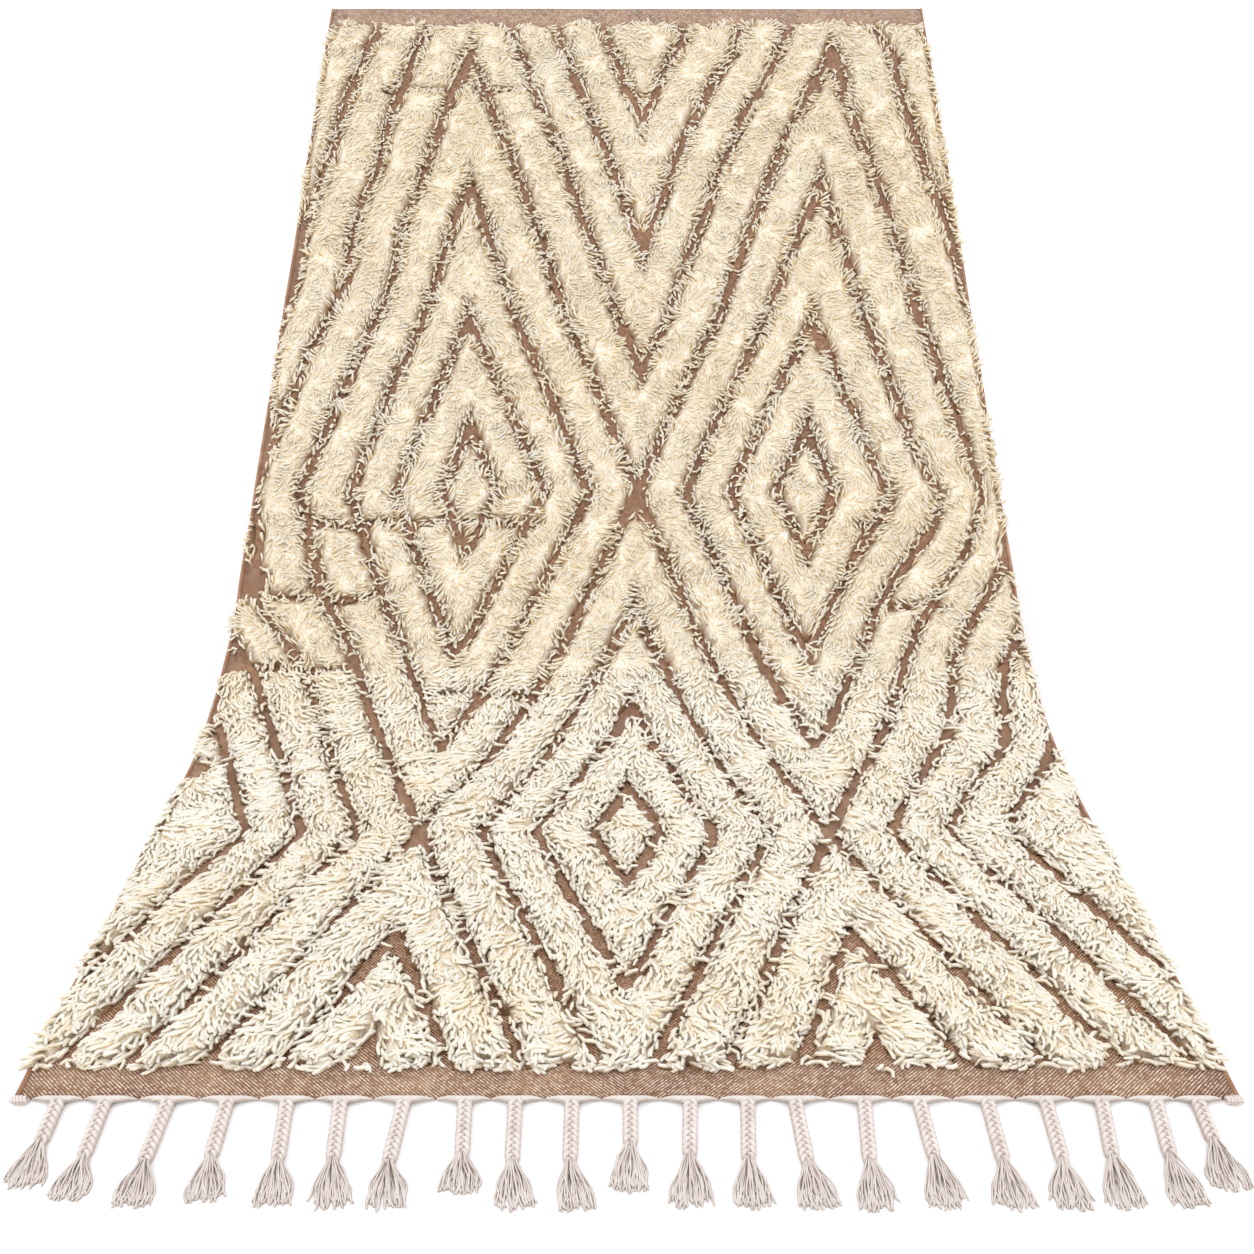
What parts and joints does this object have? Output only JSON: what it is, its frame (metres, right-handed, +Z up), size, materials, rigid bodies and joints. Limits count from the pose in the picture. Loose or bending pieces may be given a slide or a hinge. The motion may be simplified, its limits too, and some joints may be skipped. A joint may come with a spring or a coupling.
{
  "type": "beni ourain rug",
  "caption": "Long shaggy knotted wool rug with nested diamond channels in its cream pile and a braided cotton fringe, hung by its top edge with its lower end on the floor.",
  "frame": {"origin": "on the floor, under the middle of the rug's whole length and width, fringe included", "axes": "+Z up; +X across the rug, to the right of someone who faces the pile; +Y from the fringe on the floor towards the raised top edge"},
  "size_m": [1.5254, 2.8744, 1.156],
  "materials": {
    "wool_pile": "hand-spun undyed wool pile over a flat-woven brown wool ground",
    "cotton_fringe": "off-white cotton warp yarn, plaited and cut"
  },
  "bodies": {
    "root": {"rug": "wool_pile", "warp_header": "cotton_fringe", "corner_knob_left": "cotton_fringe", "corner_knob_right": "cotton_fringe", "tassel_01": "cotton_fringe", "tassel_02": "cotton_fringe", "tassel_03": "cotton_fringe", "tassel_04": "cotton_fringe", "tassel_05": "cotton_fringe", "tassel_06": "cotton_fringe", "tassel_07": "cotton_fringe", "tassel_08": "cotton_fringe", "tassel_09": "cotton_fringe", "tassel_10": "cotton_fringe", "tassel_11": "cotton_fringe", "tassel_12": "cotton_fringe", "tassel_13": "cotton_fringe", "tassel_14": "cotton_fringe", "tassel_15": "cotton_fringe", "tassel_16": "cotton_fringe", "tassel_17": "cotton_fringe", "tassel_18": "cotton_fringe", "tassel_19": "cotton_fringe", "tassel_20": "cotton_fringe", "tassel_21": "cotton_fringe"}
  },
  "joints": []
}
